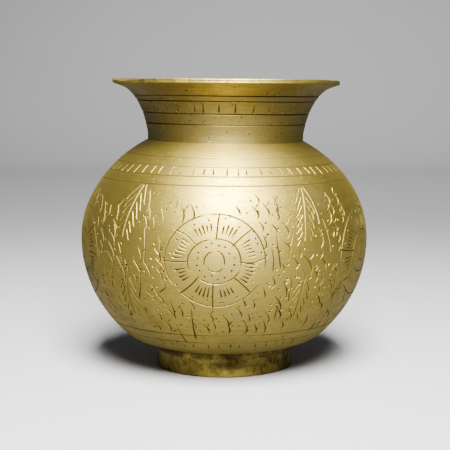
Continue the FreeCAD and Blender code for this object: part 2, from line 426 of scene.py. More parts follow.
def depth_at(points, plate):
    """Depth of the engraving at points of the net: for each cut, the wall slope times how far inside
    its half width the point lies, measured across the metal; the deepest cut counts."""
    depth = np.zeros(len(points))
    radius = plate.outline.radius_at(points[:, 1])
    for cut in plate.cuts:
        reach = np.array([cut.half.max() * 1.1 / radius.min(), cut.half.max() * 1.1])
        if cut.ring:
            near = np.flatnonzero(np.abs(points[:, 1] - cut.points[0, 1]) <= reach[1])
            half = np.interp(points[near, 0], cut.points[:, 0], cut.half)
            away = np.abs(points[near, 1] - cut.points[0, 1])
            depth[near] = np.maximum(depth[near], (half - away) * cut.steep)
            continue
        for turn in turns_of(cut.points, reach[0]):
            middle = cut.points + (turn, 0)
            low = middle.min(axis=0) - reach
            high = middle.max(axis=0) + reach
            near = np.flatnonzero(((points >= low) & (points <= high)).all(axis=1))
            if not len(near):
                continue
            scale = np.column_stack([radius[near], np.ones(len(near))])[:, None, :]
            start = (middle[:-1] - points[near][:, None, :]) * scale
            run = (middle[1:] - middle[:-1]) * scale
            t = -(start * run).sum(axis=2) / np.maximum((run**2).sum(axis=2), 1e-18)
            t = np.clip(t, 0, 1)
            away = np.linalg.norm(start + run * t[..., None], axis=2)
            half = cut.half[:-1] * (1 - t) + cut.half[1:] * t
            depth[near] = np.maximum(depth[near], (half - away).max(axis=1) * cut.steep)
    return np.maximum(depth, 0) * plate.engraving.wall_slope


def cut_chains(cut, plate):
    """Points and edges of a cut: its left edge, its middle and its right edge. The edges lie a half
    width to each side, square to the cut as measured on the metal."""
    radius = plate.outline.radius_at(cut.points[:, 1])
    metric = np.column_stack([radius, np.ones(len(radius))])
    run = np.gradient(cut.points * metric, axis=0)
    if cut.ring:
        run = np.tile([1.0, 0.0], (len(cut.points), 1))
    run /= np.linalg.norm(run, axis=1)[:, None]
    side = np.column_stack([-run[:, 1], run[:, 0]]) * cut.half[:, None] / metric
    left = cut.points + side
    right = cut.points - side
    if cut.ring:
        return [left, cut.points, right]
    inner = slice(1, -1)
    ends = cut.points[:1], cut.points[-1:]
    return [
        np.vstack([ends[0], left[inner], ends[1]]),
        cut.points,
        np.vstack([ends[0], right[inner], ends[1]]),
    ]


def engraved_net(plate, lengths, columns, seams=()):
    """Triangulates a plate: the plain net, kept clear of the cuts, and each cut's edges and middle as
    lines that no triangle crosses. A cut's point close to an end or a seam is moved onto it, and a
    triangle left flat on that level is dropped. Returns points as angle and length, and triangles."""
    widest = plate.widest
    flat = np.array([widest, 1.0])
    plain = plain_points(plate, lengths, columns)
    chains = []
    for cut in plate.cuts:
        for chain in cut_chains(cut, plate):
            turns = [0.0] if cut.ring else turns_of(chain, 0)
            chains += [chain + (turn, 0) for turn in turns]
    keep = []
    middles = np.vstack([cut.points for cut in plate.cuts])
    middles = np.vstack([middles, middles - (TURN, 0), middles + (TURN, 0)])
    clear = plate.engraving.net * CUT_CLEAR
    order = np.argsort(middles[:, 1])
    middles = middles[order]
    fixed = [0, len(plain) - 1] + [int(np.argmin(np.abs(lengths - seam))) for seam in seams]
    for i, row in enumerate(plain):
        if i in fixed:
            chains.append(row)
            continue
        along = row[0, 1]
        first, last = np.searchsorted(middles[:, 1], (along - clear, along + clear))
        near = middles[first:last]
        radius = float(plate.outline.radius_at(along))
        if len(near):
            gap = np.hypot(
                (row[:, None, 0] - near[None, :, 0]) * radius, row[:, None, 1] - near[None, :, 1]
            ).min(axis=1)
            free = gap > clear
            free[0] = free[-1] = gap[0] > clear
            row = row[free]
        keep.append(row)
    plain_kept = np.vstack(keep)
    sides = np.array(lengths)
    for x in (-math.pi, math.pi):
        chains.append(np.column_stack([np.full_like(sides, x), sides]))
    points = np.vstack([plain_kept] + chains) * flat / MM
    edges = []
    first = len(plain_kept)
    for chain in chains:
        index = np.arange(first, first + len(chain) - 1)
        edges.append(np.column_stack([index, index + 1]))
        first += len(chain)
    result = delaunay_2d_cdt(
        [Vector(p) for p in points.tolist()], np.vstack(edges).tolist(), [], 0, SNAP, False
    )
    net = np.array([tuple(v) for v in result[0]]) * MM / flat
    for level in (plate.start, plate.end, *seams):
        net[np.abs(net[:, 1] - level) < SNAP * 1.01 * MM, 1] = level
    triangles = np.array(result[2])
    centre = net[triangles].mean(axis=1)
    inside = (
        (np.abs(centre[:, 0]) < math.pi) & (centre[:, 1] > plate.start) & (centre[:, 1] < plate.end)
    )
    for level in (plate.start, plate.end, *seams):
        inside &= (net[triangles][:, :, 1] != level).any(axis=1)
    return close_round(net, triangles[inside], widest)


def close_round(net, triangles, widest):
    """Joins the net's two ends at the back of the pot. Points there are matched by their height, and
    one that the other end lacks is moved onto its nearest neighbour, which closes its thin triangle."""
    near = SNAP * 1.2 * MM / widest
    used = np.zeros(len(net), bool)
    used[triangles] = True
    left = np.flatnonzero((net[:, 0] < -math.pi + near) & used)
    right = np.flatnonzero((net[:, 0] > math.pi - near) & used)
    left = left[np.argsort(net[left, 1])]
    levels = net[left, 1]
    after = np.clip(np.searchsorted(levels, net[right, 1]), 1, len(left) - 1)
    lower = net[right, 1] - levels[after - 1] < levels[after] - net[right, 1]
    target = np.arange(len(net))
    target[right] = left[np.where(lower, after - 1, after)]
    missed = np.setdiff1d(left, target[right])
    if len(missed) > len(left) * 0.02:
        raise RuntimeError(f"{len(missed)} points at the back of the pot have no partner")
    kept = np.setdiff1d(left, missed)
    for point in missed:
        target[point] = kept[np.argmin(np.abs(net[kept, 1] - net[point, 1]))]
    triangles = target[target[triangles]]
    whole = (np.diff(np.sort(triangles, axis=1), axis=1) > 0).all(axis=1)
    net = net.copy()
    net[left, 0] = -math.pi
    return net, triangles[whole]


def on_the_metal(outline, angle, along, depth):
    """Points in space: the outline turned to an angle, where 0 is the front, and sunk by a depth."""
    nr, nz = outline.normal_at(along)
    radius = outline.radius_at(along) - nr * depth
    height = outline.height_at(along) - nz * depth
    return np.column_stack([radius * np.sin(angle), -radius * np.cos(angle), height])


# ------------------------------------------------------------------ shells


class Shell:
    """Collects rings of points and the faces between them until they are one closed mesh."""

    def __init__(self):
        self.points = []
        self.faces = []
        self.cut = []
        self.count = 0

    def add(self, points, cut=None):
        first = self.count
        self.points.append(points)
        self.cut.append(np.zeros(len(points)) if cut is None else cut)
        self.count += len(points)
        return first

    def ring(self, angles, radius, height):
        """A level ring of points at the given angles."""
        level = np.full(len(angles), height)
        points = np.column_stack([radius * np.sin(angles), -radius * np.cos(angles), level])
        return np.arange(len(angles)) + self.add(points)

    def join(self, lower, upper):
        """Quads between two rings with the same number of points; they face away from the axis if the
        second ring is above the first."""
        a, b = np.roll(lower, -1), np.roll(upper, -1)
        quads = np.column_stack([lower, a, b, upper])
        self.faces += quads.tolist()

    def zip(self, lower, lower_angles, upper, upper_angles):
        """Triangles between two rings whose angles differ. Each edge of one ring goes to the last
        point of the other ring that is not past the edge's end."""
        low = np.append(lower_angles, lower_angles[0] + TURN)
        up = np.append(upper_angles, upper_angles[0] + TURN)
        i = np.arange(1, len(low))
        j = np.clip(np.searchsorted(up, low[i], side="right") - 1, 0, len(up) - 1)
        m, n = len(lower), len(upper)
        first = np.column_stack([lower[i - 1], lower[i % m], upper[j % n]])
        j = np.arange(1, len(up))
        i = np.clip(np.searchsorted(low, up[j], side="left") - 1, 0, len(low) - 1)
        second = np.column_stack([lower[i % m], upper[j % n], upper[j - 1]])
        self.faces += first.tolist() + second.tolist()

    def close(self, ring, height):
        """A fan from a ring to a point on the axis."""
        tip = self.add(np.array([[0.0, 0.0, height]]))
        after = np.roll(ring, -1)
        self.faces += np.column_stack([ring, after, np.full(len(ring), tip)]).tolist()

    def turn_rows(self, start, angles, radii, heights):
        """Rings along a chain of radii and heights, joined one to the next. Returns the last ring."""
        ring = start
        for radius, height in zip(radii, heights):
            after = self.ring(angles, radius, height)
            self.join(ring, after)
            ring = after
        return ring

    def mesh(self, name, sharp):
        """The finished mesh, with its faces' direction made consistent and its sharp edges marked."""
        mesh = bpy.data.meshes.new(name)
        points = np.vstack(self.points)
        mesh.from_pydata(points.tolist(), [], self.faces)
        attribute = mesh.attributes.new("cut", "FLOAT", "POINT")
        attribute.data.foreach_set("value", np.concatenate(self.cut).astype(np.float32))
        work = bmesh.new()
        work.from_mesh(mesh)
        bmesh.ops.remove_doubles(work, verts=work.verts, dist=MERGE)
        bmesh.ops.dissolve_degenerate(work, edges=work.edges, dist=MERGE)
        bmesh.ops.recalc_face_normals(work, faces=work.faces)
        work.to_mesh(mesh)
        work.free()
        mesh.polygons.foreach_set("use_smooth", np.ones(len(mesh.polygons), bool))
        mesh.set_sharp_from_angle(angle=sharp)
        mesh.update()
        return mesh


def place(name, mesh, material, replaced, slot):
    """Links a piece, gives it its material, hangs it under the root body and hides the CAD node that it
    stands for.
    """
    piece = bpy.data.objects.new(name, mesh)
    bpy.context.scene.collection.objects.link(piece)
    mesh.materials.append(material)
    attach(piece, "root")
    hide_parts(replaced)


# ------------------------------------------------------------------ the engraved pattern

# Everything here is on the flat pattern: millimetres across, measured round the belly, and millimetres
# up from the floor. The design is a plain traditional one: wheels in a ground of hooked strokes and
# dots, parted by leaf sprays, with a band of ticks above and below.

PANELS = 5
FIRST_PANEL = math.radians(-3.4)
WHEEL_HEIGHT = 53.8
WHEEL_RINGS = (((20.5, 18.6), 0.008, 8), ((10.7, 9.0), 0.02, 14), ((4.1, 4.2), 0.03, 40))
SPOKES = 8
SPOKE_REACH = (0.46, 1.04)  # shares of the outer ring's half axes
TICK_REACH = (0.58, 0.82)
TICK_PITCH = 7.0  # degrees
DOT_REACH = (0.36, 0.9)

GROUND_FROM = 26.0
GROUND_TO = 81.0
GROUND_ROW = 5.2
GROUND_COLUMN = 6.1
WHEEL_CLEAR = 1.5
SPRAY_CLEAR = 5.0
HOOK_LENGTH = (3.4, 6.4)
HOOK_HEADING = -52.0  # degrees from level, of a hook's first part
HOOK_TURN = -66.0  # how far it turns at the knee
SLASHES = 0.5  # share of the hooks with a short slash beside the knee
HOOK_TAIL = 0.62  # its second part's length, as a share of the first
LONG_STROKES = 0.12  # share of the hooks that are one long sweep instead

SPRAY_OFFSET = 39.3  # from a wheel's middle to the spray beside it
# A spray: its stem's ends, its pairs of barbs, and the first and last barb's length
UPPER_SPRAY = ((2.2, 82.4), (-1.9, 61.4), 6, (8.2, 4.6))
LOWER_SPRAY = ((-1.0, 45.4), (-2.2, 28.6), 5, (6.8, 4.4))
BARB_SPREAD = 31.0  # degrees between a barb and the stem

SHOULDER_LINES = (93.5, 90.1, 86.6, 83.1)
BOWL_LINES = (22.0, 18.4, 14.4)
SHOULDER_WIDE = 1.2  # the shoulder's lines are wider and shallower than the bowl's
SHOULDER_STEEP = 0.65
UPPER_TICKS = (66, 90.1, 86.6)  # how many round the pot, and their upper and lower ends
LOWER_TICKS = (57, 18.3, 15.0)
TICK_LEAN = 1.7
NECK_LINES = (118.5, 116.2, 110.9, 106.4)
NECK_TICK_GAP = (5.5, 13.0)  # degrees


def oval(centre, axes, start, sweep, uneven, phase):
    """Points of an oval of the flat pattern: centre plus half axes times the cosine and sine, with
    the half axes swelling and shrinking a little round it."""
    angle = np.radians(np.linspace(start, start + sweep, max(5, int(abs(sweep) / 9))))
    swell = 1 + uneven * np.sin(3 * angle + phase) + uneven * 0.6 * np.sin(5 * angle + 2 * phase)
    return np.column_stack([
        centre[0] + axes[0] * swell * np.cos(angle), centre[1] + axes[1] * swell * np.sin(angle)
    ])


def towards(degrees):
    """The direction at an angle from level."""
    return np.array([math.cos(math.radians(degrees)), math.sin(math.radians(degrees))])


def dot(plate, spot):
    """A punched dot, a little longer than wide."""
    rng = plate.rng
    half = np.array([rng.uniform(0.5, 0.75), rng.uniform(-0.15, 0.15)])
    plate.add((spot - half, spot + half), plate.engraving.dot * rng.uniform(0.85, 1.2), dot_round)


def wheel(plate, middle):
    """A wheel: an outer, an inner and a heart ring, each drawn in three strokes, eight bent spokes,
    and in each field between two spokes a bunch of ticks and a few dots."""
    rng = plate.rng
    fine = plate.engraving.fine
    phase = rng.uniform(0, TURN)
    axes = np.array(WHEEL_RINGS[0][0])
    for ring_axes, uneven, gap in WHEEL_RINGS:
        for part in range(3):
            start = 100 + part * 120 + rng.uniform(-6, 6)
            plate.add(oval(middle, ring_axes, start, 120 - gap * 0.3, uneven, phase), fine, even_line)
    field = 360 / SPOKES
    for k in range(SPOKES):
        spoke = 88 + k * field + rng.uniform(-5, 5)
        inner, outer = (reach + rng.uniform(-0.05, 0.05) for reach in SPOKE_REACH)
        bend = rng.uniform(-6, 6)
        ends = middle + towards(spoke) * axes * inner, middle + towards(spoke - bend) * axes * outer
        knee = middle + towards(spoke + bend / 2) * axes * (inner + outer) / 2
        plate.add((ends[0], knee, ends[1]), fine * 1.1, even_line)
        count = rng.integers(4, 7)
        for n in range(count):
            way = towards(spoke + field / 2 + (n - (count - 1) / 2) * TICK_PITCH * 0.9) * axes
            low, high = (reach + rng.uniform(-0.03, 0.03) for reach in TICK_REACH)
            plate.add((middle + way * low, middle + way * high), fine * 1.5, heavy_end)
        for reach in DOT_REACH:
            for side in (-0.22, 0.22):
                way = towards(spoke + field * (0.5 + side)) * axes
                dot(plate, middle + way * (reach + rng.uniform(-0.04, 0.04)))


def spray(plate, foot_of_panel, top, low, pairs, sizes):
    """A leaf spray: a stem, and pairs of barbs that leave it downwards and outwards and shorten
    towards its foot."""
    rng = plate.rng
    line = np.array([top, low]) + (foot_of_panel, 0) + rng.normal(0, 0.3, (2, 2))
    middle = line.mean(axis=0) - (0.5, 0)
    plate.add((line[0], middle, line[1]), plate.engraving.fine * 1.15, even_line)
    run = line[1] - line[0]
    heading = math.degrees(math.atan2(run[1], run[0]))
    for share_down in np.linspace(0, 0.82, pairs):
        root = line[0] + run * share_down
        for side in (-1, 1):
            size = np.interp(share_down, (0, 0.82), sizes) * rng.uniform(0.88, 1.1)
            start = root + (side * rng.uniform(0.9, 1.4), rng.uniform(-0.3, 0.3))
            way = towards(heading + side * BARB_SPREAD * rng.uniform(0.9, 1.12))
            bow = start + way * size / 2 + (side * 0.3, 0)
            plate.add((start, bow, start + way * size), plate.engraving.fine * 1.25, heavy_end)


def hook(plate, start):
    """A hooked stroke: it runs down to the right, then turns back under itself at a knee. A few are
    one long bowed sweep instead."""
    rng = plate.rng
    weight = plate.engraving.stroke * rng.uniform(0.75, 1.15)
    size = rng.uniform(*HOOK_LENGTH)
    if rng.random() < LONG_STROKES:
        way = towards(rng.uniform(-110, -75)) * size * 1.3
        plate.add((start, start + way + (rng.uniform(-0.8, 1.2), 0), start + 2 * way), weight, heavy_end)
        return
    first = HOOK_HEADING + rng.uniform(-20, 16)
    second = first + HOOK_TURN * rng.uniform(0.6, 1.3)
    knee = start + towards(first) * size
    end = knee + towards(second) * size * HOOK_TAIL * rng.uniform(0.6, 1.2)
    plate.add((start, knee, end), weight, knee_heavy, 1)
    if rng.random() < SLASHES:
        foot = knee + (rng.uniform(-2.6, -1.2), rng.uniform(1.2, 2.6))
        tip = foot + towards(rng.uniform(30, 58)) * rng.uniform(2.2, 3.8)
        plate.add((foot, tip), weight * 0.85, heavy_end)


def ground(plate, centre, middle):
    """The ground of a panel: hooks in rows, every other row half a step on, each strayed by up to a
    third of a step and left out where it would run into the wheel or the sprays, with dots beside."""
    rng = plate.rng
    clear = np.array(WHEEL_RINGS[0][0]) + WHEEL_CLEAR
    edge = math.pi * plate.widest / MM / PANELS
    for row, height in enumerate(np.arange(GROUND_TO, GROUND_FROM, -GROUND_ROW)):
        for across in np.arange(-edge + GROUND_COLUMN * (0.25 + 0.5 * (row % 2)), edge, GROUND_COLUMN):
            spot = np.array([across, height]) + rng.uniform(-1, 1, 2) * (GROUND_COLUMN / 3, GROUND_ROW / 3)
            off = (spot + (1.8, -3.0) - middle) / clear
            in_spray = edge - abs(spot[0]) < SPRAY_CLEAR and not 46 < spot[1] < 61
            if off @ off < 1 or in_spray or spot[1] > GROUND_TO:
                continue
            place_on = np.array([centre, 0])
            hook(plate, spot + place_on)
            dot(plate, spot + place_on + (rng.uniform(-2.2, -1.2), rng.uniform(-4.4, -2.6)))
            if rng.random() < 0.5:
                dot(plate, spot + place_on + (rng.uniform(2.0, 3.4), rng.uniform(-1.6, 0.4)))


def body_cuts(plate):
    """All the cuts of the body: the panels, each with its wheel, its ground and the sprays at its
    side, and the bands of lines and ticks above and below."""
    cut = plate.engraving
    rng = plate.rng
    belly = TURN * plate.widest / MM
    for panel in range(PANELS):
        turn = FIRST_PANEL + panel * TURN / PANELS
        centre = ((turn + math.pi) % TURN - math.pi) * plate.widest / MM
        middle = np.array([rng.uniform(-1.0, 0.6), WHEEL_HEIGHT + rng.uniform(-0.5, 0.5)])
        wheel(plate, middle + (centre, 0))
        ground(plate, centre, middle)
        for design in (UPPER_SPRAY, LOWER_SPRAY):
            spray(plate, centre - SPRAY_OFFSET, *design)
    for height in SHOULDER_LINES:
        plate.ring(height, cut.turned * SHOULDER_WIDE, steep=SHOULDER_STEEP)
    for height in BOWL_LINES:
        plate.ring(height, cut.turned)
    for count, top, low in (UPPER_TICKS, LOWER_TICKS):
        for k in range(count):
            across = (k + rng.uniform(-0.2, 0.2)) / count * belly - belly / 2
            lean = -TICK_LEAN * math.sin(across / belly * TURN) + rng.uniform(-0.5, 0.5)
            upper = (across + lean, top - rng.uniform(0, 0.4))
            ends = np.array([upper, (across, low + rng.uniform(0, 0.5))])
            if rng.random() < 0.35:
                ends = ends[::-1]
            plate.add(ends, cut.stroke * rng.uniform(0.75, 1.05), heavy_end)


def neck_cuts(plate):
    """The neck's turned lines, and uneven ticks between two of them, each heavy at its foot."""
    cut = plate.engraving
    rng = plate.rng
    for height in NECK_LINES:
        plate.ring(height, cut.turned * 1.25, 0.3)
    degrees = -178.0
    while degrees < 178:
        across = math.radians(degrees) * plate.widest / MM
        lean = rng.uniform(-0.8, 0.5)
        top = NECK_LINES[1] - rng.uniform(0.2, 1.0)
        low = NECK_LINES[2] + rng.uniform(0, 0.4)
        bow = rng.uniform(-0.3, 0.5)
        knee = (across + lean / 2 + bow, (top + low) / 2)
        plate.add(((across, top), knee, (across + lean, low)), cut.stroke, heavy_end)
        degrees += rng.uniform(*NECK_TICK_GAP)


# ------------------------------------------------------------------ the pieces


def hand_made(points, sizes):
    """Small dents and hollows of hand work: the metal lies inside the true turned shape by up to
    HAND_DEPTH, which swells and fades in two to thirteen waves round the pot."""
    angle = np.arctan2(points[:, 0], -points[:, 1])
    rise = points[:, 2] / sizes.belly_radius
    wave = (
        np.sin(3 * angle + 4 * rise + 0.7)
        + np.sin(7 * angle - 6 * rise + 2.1)
        + np.sin(11 * rise + 2 * angle + 1.3)
        + 0.7 * np.sin(13 * angle + 9 * rise)
    ) / 3.7
    inward = HAND_DEPTH * (0.5 + 0.5 * wave)
    scale = 1 - inward / sizes.belly_radius
    return np.column_stack([points[:, 0] * scale, points[:, 1] * scale, points[:, 2]])


def smooth_step(value, low, high):
    """0 below low, 1 above high, and a smooth rise between."""
    t = np.clip((value - low) / (high - low), 0, 1)
    return t * t * (3 - 2 * t)


def crooked(points, sizes):
    """The neck was brazed on a little crooked: it stands off the axis and leans to the right, and the
    shoulder under it slopes the same way, by a share that grows from the belly up to the neck."""
    x, y, z = points.T
    end = sizes.shoulder_top - CROOKED_END
    slope = smooth_step(z, sizes.belly_height + SLOPE_START, end)
    shift = NECK_SHIFT * smooth_step(z, sizes.belly_height + SHIFT_START, end)
    above = np.maximum(z - sizes.shoulder_top, 0)
    return np.column_stack([x + shift + above * LEAN, y, z - x * LEAN * slope])


class Skin:
    """An engraved outside as one net: its points in space, how deep each lies in a cut from 0 to 1, and
    its triangles. Pieces that share a skin meet point for point."""

    def __init__(self, plate, lengths, seams=()):
        cut = plate.engraving
        self.net, self.triangles = engraved_net(plate, lengths, COLUMNS, seams)
        depth = depth_at(self.net, plate)
        self.points = on_the_metal(plate.outline, self.net[:, 0], self.net[:, 1], depth)
        self.cut = np.clip(depth / (cut.wall_slope * cut.stroke), 0, 1)

    def give(self, shell, triangles):
        """Adds some of the triangles to a shell. Returns the net's points' places in it."""
        used = np.unique(triangles)
        where = np.full(len(self.net), -1)
        where[used] = np.arange(len(used)) + shell.add(self.points[used], self.cut[used])
        shell.faces += where[triangles].tolist()
        return where

    def ring(self, where, along):
        """The points on one level of the net, in order round the pot, and their angles."""
        index = np.flatnonzero((np.abs(self.net[:, 1] - along) < MERGE) & (where >= 0))
        index = index[np.argsort(self.net[index, 0])]
        return where[index], self.net[index, 0]


class EngravedBody(Skin):
    """The engraved outside of the whole body, to be shared between its two halves."""

    def __init__(self, sizes, cut):
        self.outline = body_outline(sizes)
        low = slice(0, BOTTOM_POINTS)
        self.start = float(np.interp(sizes.foot_radius, self.outline.radius[low], self.outline.length[low]))
        self.seam = float(self.outline.along_at(sizes.belly_height))
        plate = Plate(self.outline, self.start, self.outline.total, cut)
        body_cuts(plate)
        lengths = plate.rows()
        near = np.array(SEAM_ROWS) * MM + self.seam
        lengths = np.sort(np.concatenate([lengths[np.abs(lengths - self.seam) > SEAM_CLEAR], near]))
        super().__init__(plate, lengths, (self.seam,))
        self.points = hand_made(self.points, sizes)
        self.is_above = self.net[self.triangles][:, :, 1].mean(axis=1) > self.seam


def along_outline(outline, first, last, gap):
    """Radii and heights of rings along an outline, after the first length and up to the last."""
    count = max(2, int(abs(last - first) / gap) + 1)
    along = np.linspace(first, last, count + 1)[1:]
    return outline.radius_at(along), outline.height_at(along)


def half_shell(sizes, body, above, lap_radius, lap_top):
    """What both halves start with: their share of the engraved net, the narrow face of the seam, and
    the upright face of the lap joint. Returns the shell, the places of the net's points in it, the
    joint's last ring, the inner wall's outline and the length along it where the joint ends."""
    shell = Shell()
    where = body.give(shell, body.triangles[body.is_above == above])
    seam, angles = body.ring(where, body.seam)
    lower = shell.ring(angles, lap_radius, sizes.belly_height)
    shell.join(seam, lower)
    upper = shell.ring(EVEN, lap_radius, lap_top)
    shell.zip(lower, angles, upper, EVEN)
    inner = body_outline(sizes, sizes.wall)
    return shell, where, upper, inner, float(inner.along_at(lap_top))


def shoulder_shell(sizes, body):
    """The upper half: the engraved net, the rebate for the bowl's tongue, the inner wall up to the
    bore, and the ledge that the neck stands on."""
    rebate_top = sizes.belly_height + sizes.lap_height + sizes.film
    shell, where, upper, inner, first = half_shell(sizes, body, True, sizes.lap_radius, rebate_top)
    radii, heights = along_outline(inner, first, inner.total, INNER_GAP)
    radii = np.concatenate([[inner.radius_at(first)], radii, [sizes.neck_bore]])
    heights = np.concatenate([[rebate_top], heights, [sizes.shoulder_top]])
    last = shell.turn_rows(upper, EVEN, radii, heights)
    top, _ = body.ring(where, body.outline.total)
    shell.join(last, top)
    shell.points = [crooked(part, sizes) for part in shell.points]
    return shell.mesh("shoulder", SHARP)


def bowl_shell(sizes, body):
    """The lower half: the engraved net, the tongue, the inner wall down to the axis, and the plain
    underside within the foot."""
    tongue_top = sizes.belly_height + sizes.lap_height
    tongue_radius = sizes.lap_radius - sizes.film
    shell, where, upper, inner, first = half_shell(sizes, body, False, tongue_radius, tongue_top)
    radii, heights = along_outline(inner, first, POLE_GAP, INNER_GAP)
    radii = np.concatenate([[inner.radius_at(first)], radii])
    heights = np.concatenate([[tongue_top], heights])
    last = shell.turn_rows(upper, EVEN, radii, heights)
    shell.close(last, inner.height[0])
    rim, _ = body.ring(where, body.start)
    radii, heights = along_outline(body.outline, body.start, POLE_GAP, INNER_GAP)
    last = shell.turn_rows(rim, EVEN, radii, heights)
    shell.close(last, body.outline.height[0])
    return shell.mesh("bowl", SHARP)


def quarter(centre, size, start, end, count=7):
    """Points of an arc: centre plus size times the cosine and sine of an even angle, in degrees."""
    angle = np.radians(np.linspace(start, end, count))
    return centre[0] + size * np.cos(angle), centre[1] + size * np.sin(angle)


def knocked(points, sizes):
    """The lip as it is bent: above the middle of the neck it moves down by the rim's drop times the
    square of a rise from 0 to 1. The drop is one value all round, a sine squared of half the turn,
    and two bell curves."""
    x, y, z = points.T
    turn = np.degrees(np.arctan2(x, -y))
    drop = RIM_DROP + RIM_BACK * np.sin(np.radians(turn) / 2) ** 2
    for centre, width, depth in (RIM_DENT, RIM_LIFT):
        drop = drop + depth * np.exp(-(((turn - centre) / width) ** 2))
    start = sizes.shoulder_top + BEND_START
    rise = np.clip((z - start) / (sizes.rim_height - start), 0, 1)
    return crooked(np.column_stack([x, y, z - drop * MM * rise**2]), sizes)


def neck_piece(sizes, cut):
    """The flared neck: its cut outside, the rounded lip, the inside, and the face that it stands on."""
    outline = neck_outside(sizes)
    plate = Plate(outline, 0.0, outline.total, cut)
    neck_cuts(plate)
    skin = Skin(plate, plate.rows())
    shell = Shell()
    where = skin.give(shell, skin.triangles)
    foot, _ = skin.ring(where, 0.0)
    lip, _ = skin.ring(where, outline.total)
    top = sizes.rim_height
    shy = sizes.rim_radius - LIP_ROUND
    low_r, low_z = quarter((shy, top - sizes.lip + LIP_ROUND), LIP_ROUND, -90, 0)
    hollow_r = [sizes.rim_radius - LIP_HOLLOW]
    hollow_z = [top - sizes.lip / 2]
    high_r, high_z = quarter((shy, top - LIP_ROUND), LIP_ROUND, 0, 90)
    base = np.array([sizes.neck_bore, sizes.shoulder_top])
    inside = np.vstack([base + np.array(FLARE_INSIDE) * MM, [sizes.rim_radius - LIP_WIDTH, top]])
    inside = smooth_through(inside, 24)[::-1]
    radii = np.concatenate([low_r[1:], hollow_r, high_r, inside[:, 0]])
    heights = np.concatenate([low_z[1:], hollow_z, high_z, inside[:, 1]])
    last = shell.turn_rows(lip, EVEN, radii, heights)
    shell.join(last, foot)
    shell.points = [knocked(hand_made(part, sizes), sizes) for part in shell.points]
    for part in shell.points:
        part[:, 2] = np.minimum(part[:, 2], sizes.rim_height)
    return shell.mesh("neck", SHARP)


def foot_piece(sizes):
    """The foot ring: a rounded lower edge, a wall that widens a little, a cove out to the bowl, a seat
    that follows the bowl's underside, and the inner face."""
    bowl = body_outline(sizes)
    inner = sizes.foot_radius - sizes.foot_wall
    upper = sizes.foot_radius + FOOT_TAPER
    edge_r, edge_z = quarter((sizes.foot_radius - FOOT_EDGE, FOOT_EDGE), FOOT_EDGE, -90, 0)
    wall_r = np.linspace(sizes.foot_radius, upper, 8)[1:]
    wall_z = np.linspace(FOOT_EDGE, COVE_START, 8)[1:]
    top_radius = FOOT_BOX[1][0] - FOOT_GAP
    t = np.linspace(0, 1, 8)[1:]
    cove_r = upper + (top_radius - upper) * t**2
    top_z = float(np.interp(top_radius, bowl.radius[:BOTTOM_POINTS], bowl.height[:BOTTOM_POINTS])) - FOOT_GAP
    cove_z = COVE_START + (top_z - COVE_START) * t
    seat_r = np.linspace(top_radius, inner, 5)[1:]
    seat_z = np.interp(seat_r, bowl.radius[:BOTTOM_POINTS], bowl.height[:BOTTOM_POINTS]) - FOOT_GAP
    down_z = np.linspace(seat_z[-1], 0, 6)[1:]
    radii = np.concatenate([edge_r, wall_r, cove_r, seat_r, np.full(5, inner)])
    heights = np.concatenate([edge_z, wall_z, cove_z, seat_z, down_z])
    shell = Shell()
    first = shell.ring(EVEN, radii[0], heights[0])
    last = shell.turn_rows(first, EVEN, radii[1:], heights[1:])
    shell.join(last, first)
    return shell.mesh("foot", SHARP)


# ------------------------------------------------------------------ materials


def socket(tree, target, name, value):
    """Sets an input, or links it if the value is another node's output."""
    if isinstance(value, bpy.types.NodeSocket):
        tree.links.new(value, target.inputs[name])
    else:
        target.inputs[name].default_value = value


def node(tree, kind, inputs=None, **settings):
    """Adds a node with its settings and inputs."""
    made = tree.nodes.new(kind)
    for name, value in settings.items():
        setattr(made, name, value)
    for name, value in (inputs or {}).items():
        socket(tree, made, name, value)
    return made


def math_node(tree, operation, first, second, clamp=False):
    made = node(tree, "ShaderNodeMath", {0: first, 1: second}, operation=operation, use_clamp=clamp)
    return made.outputs[0]


def product(tree, first, second):
    return math_node(tree, "MULTIPLY", first, second)


def greatest(tree, first, second):
    return math_node(tree, "MAXIMUM", first, second)


def weighted(tree, *parts):
    """The sum of values, each times its weight."""
    total = None
    for value, weight in parts:
        term = product(tree, value, weight)
        total = term if total is None else math_node(tree, "ADD", total, term)
    return total


def noise(tree, place, scale, detail=3.0, roughness=0.55, distortion=0.0):
    """A noise value over the surface."""
    settings = {"Scale": scale, "Detail": detail, "Roughness": roughness, "Distortion": distortion}
    return node(tree, "ShaderNodeTexNoise", {"Vector": place, **settings}).outputs["Fac"]


def ramp(tree, value, low, high):
    """A mask that rises smoothly from 0 to 1 as the value goes from low to high."""
    made = node(
        tree,
        "ShaderNodeMapRange",
        {"Value": value, "From Min": low, "From Max": high},
        interpolation_type="SMOOTHSTEP",
    )
    return made.outputs["Result"]


def mixed(tree, mask, first, second):
    """A mix of two colours."""
    made = node(tree, "ShaderNodeMix", data_type="RGBA")
    socket(tree, made, 0, mask)
    socket(tree, made, 6, first)
    socket(tree, made, 7, second)
    return made.outputs[2]


def stretched(tree, place, scale):
    """Coordinates multiplied along each axis."""
    made = node(tree, "ShaderNodeVectorMath", {0: place, 1: scale}, operation="MULTIPLY")
    return made.outputs[0]


def new_group(name, numbers, outputs):
    """An empty node group with a place, some numbers with their usual values, and float outputs.
    Returns its tree, its inputs and its output node."""
    tree = bpy.data.node_groups.new(name, "ShaderNodeTree")
    tree.interface.new_socket(name="Place", in_out="INPUT", socket_type="NodeSocketVector")
    for label, value in numbers.items():
        made = tree.interface.new_socket(name=label, in_out="INPUT", socket_type="NodeSocketFloat")
        made.default_value = value
    for label in outputs:
        tree.interface.new_socket(name=label, in_out="OUTPUT", socket_type="NodeSocketFloat")
    return tree, tree.nodes.new("NodeGroupInput").outputs, tree.nodes.new("NodeGroupOutput")


